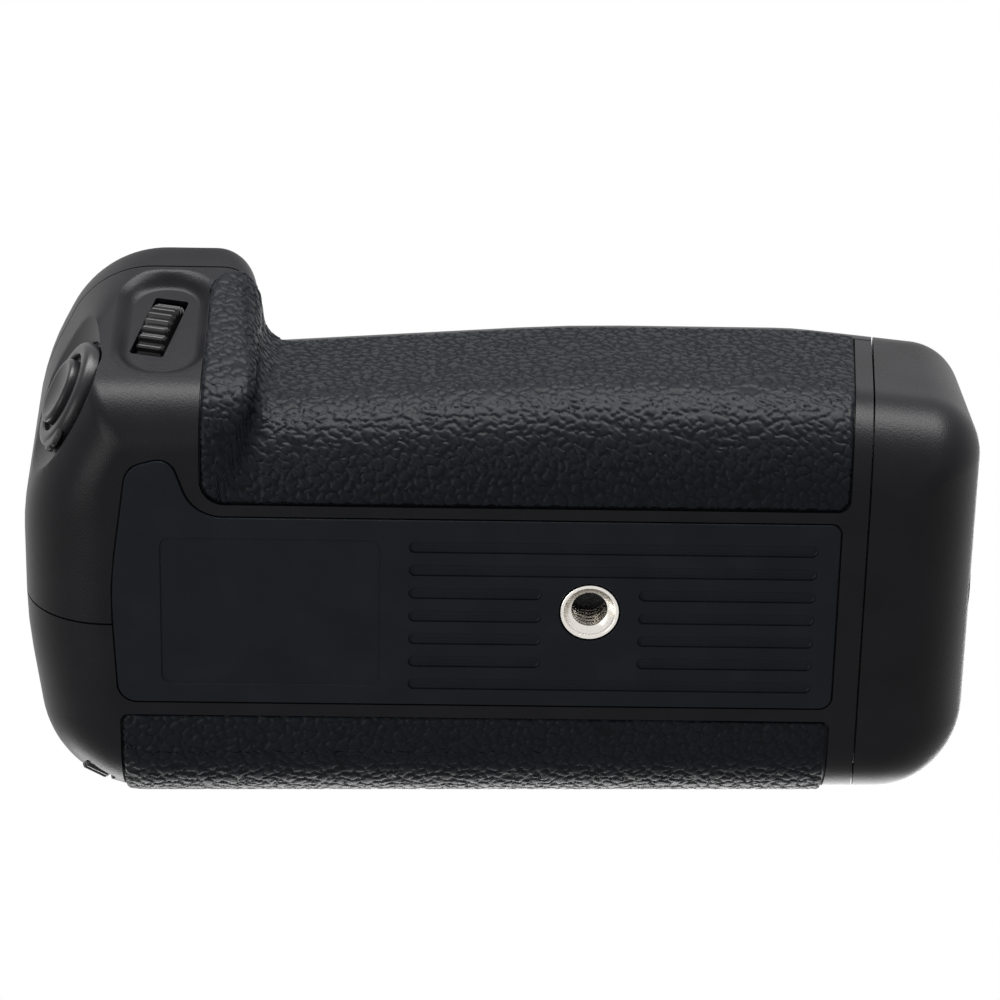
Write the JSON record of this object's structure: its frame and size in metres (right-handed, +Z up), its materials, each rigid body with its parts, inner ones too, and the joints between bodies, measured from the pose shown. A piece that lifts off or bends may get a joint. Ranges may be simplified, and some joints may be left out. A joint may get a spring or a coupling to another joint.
{
  "type": "camera battery grip",
  "caption": "Battery grip that screws under a camera: housing with rubber inlays, second shutter button, dials, thumb-wheel screw and a pull-out battery tray.",
  "frame": {"origin": "middle of the footprint, on the underside of the base plate", "axes": "+X from the control end to the end cap, +Y from the finger rest to the rear wall, +Z up to the camera"},
  "size_m": [0.1512, 0.0808, 0.049],
  "materials": {
    "shell": "fine moulded grain",
    "base": "satin paint",
    "grip_rubber": "pebbled leather grain",
    "nickel": "nickel plate",
    "steel": "plain sheet and bar",
    "inner_plastic": "plain moulded",
    "contact_metal": "gold plate",
    "board": "lacquered laminate",
    "switch": "plain moulded",
    "control": "satin moulded",
    "dial": "ribbed"
  },
  "bodies": {
    "housing": {"front_shell": "shell", "rear_shell": "shell", "top_shell": "shell", "base_plate": "base", "front_grip_rubber": "grip_rubber", "rear_grip_rubber": "grip_rubber", "tripod_socket": "nickel", "chassis_plate": "steel", "battery_chamber": "inner_plastic", "chamber_bulkhead": "inner_plastic", "chamber_contacts": "contact_metal", "circuit_board": "board", "board_screws": "steel", "signal_connector": "inner_plastic", "signal_pins": "contact_metal", "locating_pins": "nickel", "screw_bush": "contact_metal", "drive_plate": "steel", "wheel_axle": "steel", "shutter_guide": "control", "shutter_switch": "switch", "function_sleeve": "control", "function_switch": "switch", "focus_sleeve": "control", "focus_switch": "switch", "front_dial_axle": "steel", "front_dial_bracket": "steel", "rear_dial_axle": "steel", "rear_dial_bracket": "steel", "selector_base": "inner_plastic", "lid_screws": "steel"},
    "shutter": {"shutter_button": "control"},
    "lock": {"lock_ring": "control"},
    "front_wheel": {"front_dial": "dial"},
    "rear_wheel": {"rear_dial": "dial"},
    "function": {"function_button": "control"},
    "focus": {"focus_button": "control"},
    "gimbal": {"selector_gimbal": "steel"},
    "stick": {"selector_stick": "control"},
    "thumb_wheel": {"attachment_wheel": "dial"},
    "screw": {"mounting_screw": "nickel"},
    "tray": {"end_cap": "shell", "cap_plate": "inner_plastic", "battery_tray": "inner_plastic", "tray_contacts": "contact_metal"},
    "latch": {"latch_disc": "control", "latch_arm": "steel", "latch_pin": "steel"},
    "lever": {"latch_lever": "control"}
  },
  "joints": [
    {"name": "shutter_press", "type": "slide", "parent": "housing", "child": "shutter", "axis": [0.874, 0.4628, 0.1483], "range_m": [0, 0.001], "stiffness_N_per_m": 900},
    {"name": "shutter_lock_turn", "type": "hinge", "parent": "housing", "child": "lock", "pos_m": [-0.06696, -0.02459, 0.016], "axis": [-0.874, -0.4628, -0.1483], "range_deg": [0, 35]},
    {"name": "front_dial_spin", "type": "hinge", "parent": "housing", "child": "front_wheel", "pos_m": [-0.05445, -0.02541, 0.02678], "axis": [0.9781, 0.0561, -0.2002], "continuous": true},
    {"name": "rear_dial_spin", "type": "hinge", "parent": "housing", "child": "rear_wheel", "pos_m": [-0.06184, 0.03176, 0.013], "axis": [-0.8829, -0.4695, 0], "continuous": true},
    {"name": "function_press", "type": "slide", "parent": "housing", "child": "function", "axis": [1, 0, 0], "range_m": [0, 0.0008], "stiffness_N_per_m": 800},
    {"name": "focus_press", "type": "slide", "parent": "housing", "child": "focus", "axis": [-0.0122, -0.9999, 0], "range_m": [0, 0.0008], "stiffness_N_per_m": 800},
    {"name": "selector_sideways", "type": "hinge", "parent": "housing", "child": "gimbal", "pos_m": [-0.03875, 0.03144, 0.0245], "axis": [0, 0, 1], "range_deg": [-8, 8], "stiffness_Nm_per_rad": 0.06},
    {"name": "selector_updown", "type": "hinge", "parent": "gimbal", "child": "stick", "pos_m": [-0.03875, 0.03144, 0.0245], "axis": [0.9999, -0.0122, 0], "range_deg": [-8, 8], "stiffness_Nm_per_rad": 0.06},
    {"name": "screw_turn", "type": "hinge", "parent": "housing", "child": "screw", "pos_m": [0.014, 0.00417, 0.0382], "axis": [0, 0, 1], "continuous": true},
    {"name": "thumb_wheel_turn", "type": "hinge", "parent": "housing", "child": "thumb_wheel", "pos_m": [0.014, 0.02717, 0.0343], "axis": [0, 0, 1], "continuous": true},
    {"name": "tray_slide", "type": "slide", "parent": "housing", "child": "tray", "axis": [1, 0, 0], "range_m": [0, 0.085]},
    {"name": "latch_turn", "type": "hinge", "parent": "tray", "child": "latch", "pos_m": [0.05675, 0.00417, 0.02065], "axis": [1, 0, 0], "range_deg": [0, 90]},
    {"name": "lever_unfold", "type": "hinge", "parent": "latch", "child": "lever", "pos_m": [0.07425, 0.00417, 0.02065], "axis": [0, 0, 1], "range_deg": [0, 90]}
  ],
  "couplings": [
    {"joint": "thumb_wheel_turn", "follows": "screw_turn", "ratio": -1.5556}
  ]
}
